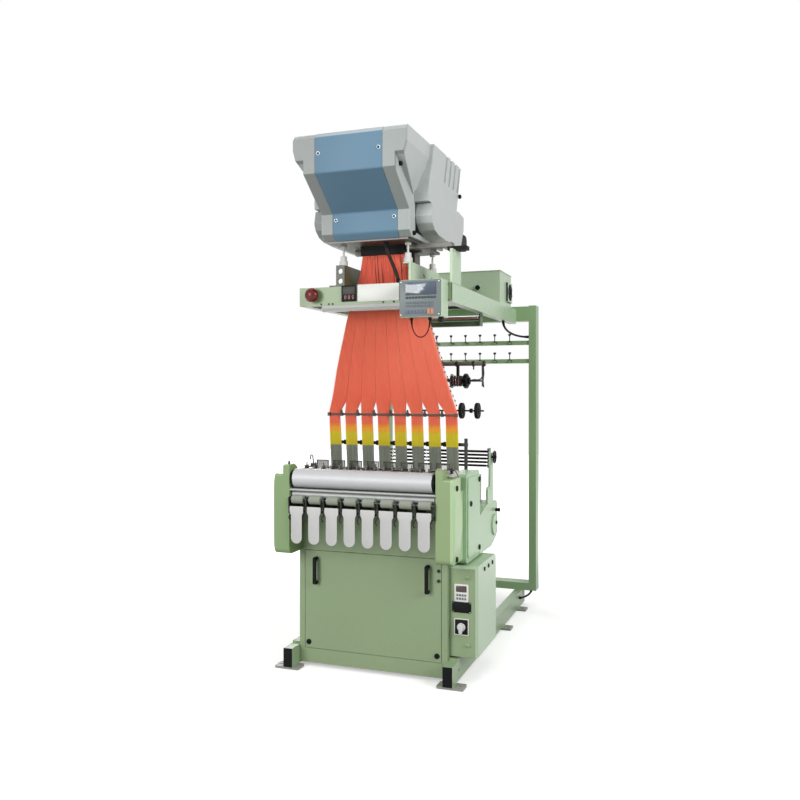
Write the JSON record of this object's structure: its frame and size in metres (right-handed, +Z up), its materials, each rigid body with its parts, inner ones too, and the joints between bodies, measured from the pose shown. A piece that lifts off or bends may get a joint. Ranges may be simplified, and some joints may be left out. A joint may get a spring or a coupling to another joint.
{
  "type": "elastic tape weaving loom",
  "caption": "Narrow fabric loom on a two-rail base: jacquard head on an overhead frame, fan of harness cords, take-up roller with press levers, side housings and a rear stand with yarn guides",
  "frame": {"origin": "On the floor, under the middle of the loom's overall box", "axes": "+Z up; +Y from the operator's side to the rear stand; +X to the operator's right"},
  "size_m": [1.138, 2.018, 2.78],
  "materials": {
    "machine_green": "gloss enamel",
    "light_green": "gloss enamel",
    "black_plastic": "moulded",
    "black_steel": "black oxide",
    "dark_steel": "satin",
    "bright_steel": "ground",
    "grey_roller": "satin",
    "grey_rubber": "matt",
    "black_rubber": "matt",
    "white_plastic": "moulded",
    "head_grey": "satin",
    "head_blue": "satin",
    "harness_cord": "spun cord",
    "harness_yellow": "sleeves and springs",
    "red_plastic": "gloss",
    "lamp_white": "diffuser",
    "cable_black": "sheath"
  },
  "bodies": {
    "frame": {"base_rails": "machine_green", "rail_caps": "black_plastic", "rear_stand": "machine_green", "yarn_guides": "black_plastic", "overhead_arms": "light_green", "roller_hanger": "machine_green", "front_beam": "machine_green", "work_lamp": "lamp_white", "head_feet": "black_rubber", "head_brackets": "machine_green", "head_adjusters": "white_plastic", "head_base": "dark_steel", "front_shell": "head_grey", "front_panel": "head_blue", "side_cover_left": "head_grey", "side_cover_right": "head_grey", "head_plug": "black_plastic", "harness_collar": "black_plastic", "harness_fan": "harness_cord", "comber_bar": "black_steel", "harness_groups": "harness_yellow", "group_guard": "black_steel", "spring_box": "black_steel", "breast_bar": "dark_steel", "side_frames": "machine_green", "body_panels": "machine_green", "housing_left": "machine_green", "housing_right": "machine_green", "gear_casing": "light_green", "motor_casing": "light_green", "lever_brackets": "black_steel", "cabinet": "light_green", "terminal": "light_green", "control_box": "machine_green", "rod_rack": "black_steel", "feeder_stand": "light_green", "arm_cable": "cable_black", "rail_cable": "cable_black", "terminal_cable": "cable_black", "neck_cable": "cable_black"},
    "warp_roller": {"warp_roller": "bright_steel"},
    "reed_sley": {"reed_sley": "dark_steel"},
    "take_up_roller": {"take_up_roller": "grey_roller"},
    "drive_bar": {"drive_bar": "bright_steel"},
    "press_rollers": {"press_rollers": "grey_rubber"},
    "front_door": {"front_door": "machine_green", "door_fittings": "black_plastic"},
    "cabinet_door": {"cabinet_door": "machine_green"},
    "switch_knob": {"switch_knob": "white_plastic"},
    "stop_button": {"stop_button": "red_plastic"},
    "rack_wheel": {"rack_wheel": "black_plastic"},
    "feeder_discs": {"feeder_discs": "black_rubber"},
    "press_lever_1": {"press_lever_1": "white_plastic"},
    "press_lever_2": {"press_lever_2": "white_plastic"},
    "press_lever_3": {"press_lever_3": "white_plastic"},
    "press_lever_4": {"press_lever_4": "white_plastic"},
    "press_lever_5": {"press_lever_5": "white_plastic"},
    "press_lever_6": {"press_lever_6": "white_plastic"},
    "press_lever_7": {"press_lever_7": "white_plastic"},
    "press_lever_8": {"press_lever_8": "white_plastic"}
  },
  "joints": [
    {"name": "warp_roller_spin", "type": "hinge", "parent": "frame", "child": "warp_roller", "pos_m": [0, 0.109, 1.93], "axis": [1, 0, 0], "continuous": true},
    {"name": "reed_swing", "type": "hinge", "parent": "frame", "child": "reed_sley", "pos_m": [0, -0.556, 1.022], "axis": [1, 0, 0], "range_deg": [-8, 14]},
    {"name": "take_up_spin", "type": "hinge", "parent": "frame", "child": "take_up_roller", "pos_m": [0, -0.816, 1.03], "axis": [1, 0, 0], "continuous": true},
    {"name": "drive_bar_spin", "type": "hinge", "parent": "frame", "child": "drive_bar", "pos_m": [0, -0.821, 0.945], "axis": [1, 0, 0], "continuous": true},
    {"name": "press_roller_spin", "type": "hinge", "parent": "frame", "child": "press_rollers", "pos_m": [0, -0.857, 0.92185], "axis": [1, 0, 0], "continuous": true},
    {"name": "press_lever_1_lift", "type": "hinge", "parent": "frame", "child": "press_lever_1", "pos_m": [0, -0.853, 0.86], "axis": [-1, 0, 0], "range_deg": [0, 70]},
    {"name": "press_lever_2_lift", "type": "hinge", "parent": "frame", "child": "press_lever_2", "pos_m": [0, -0.853, 0.86], "axis": [-1, 0, 0], "range_deg": [0, 70]},
    {"name": "press_lever_3_lift", "type": "hinge", "parent": "frame", "child": "press_lever_3", "pos_m": [0, -0.853, 0.86], "axis": [-1, 0, 0], "range_deg": [0, 70]},
    {"name": "press_lever_4_lift", "type": "hinge", "parent": "frame", "child": "press_lever_4", "pos_m": [0, -0.853, 0.86], "axis": [-1, 0, 0], "range_deg": [0, 70]},
    {"name": "press_lever_5_lift", "type": "hinge", "parent": "frame", "child": "press_lever_5", "pos_m": [0, -0.853, 0.86], "axis": [-1, 0, 0], "range_deg": [0, 70]},
    {"name": "press_lever_6_lift", "type": "hinge", "parent": "frame", "child": "press_lever_6", "pos_m": [0, -0.853, 0.86], "axis": [-1, 0, 0], "range_deg": [0, 70]},
    {"name": "press_lever_7_lift", "type": "hinge", "parent": "frame", "child": "press_lever_7", "pos_m": [0, -0.853, 0.86], "axis": [-1, 0, 0], "range_deg": [0, 70]},
    {"name": "press_lever_8_lift", "type": "hinge", "parent": "frame", "child": "press_lever_8", "pos_m": [0, -0.853, 0.86], "axis": [-1, 0, 0], "range_deg": [0, 70]},
    {"name": "front_door_off", "type": "slide", "parent": "frame", "child": "front_door", "axis": [0, -1, 0], "range_m": [0, 0.3]},
    {"name": "cabinet_door_swing", "type": "hinge", "parent": "frame", "child": "cabinet_door", "pos_m": [0.554, -0.6683, 0.35], "axis": [0, 0, 1], "range_deg": [0, 110]},
    {"name": "switch_turn", "type": "hinge", "parent": "cabinet_door", "child": "switch_knob", "pos_m": [0.485, -0.68, 0.286], "axis": [0, -1, 0], "range_deg": [0, 90]},
    {"name": "stop_push", "type": "slide", "parent": "frame", "child": "stop_button", "axis": [0, 1, 0], "range_m": [0, 0.006]},
    {"name": "rack_wheel_turn", "type": "hinge", "parent": "frame", "child": "rack_wheel", "pos_m": [0, -0.107, 1.11], "axis": [1, 0, 0], "continuous": true},
    {"name": "feeder_disc_spin", "type": "hinge", "parent": "frame", "child": "feeder_discs", "pos_m": [0, -0.141, 1.375], "axis": [1, 0, 0], "continuous": true}
  ],
  "couplings": [
    {"joint": "drive_bar_spin", "follows": "take_up_spin", "ratio": -2.5},
    {"joint": "press_roller_spin", "follows": "take_up_spin", "ratio": 2.2727}
  ]
}
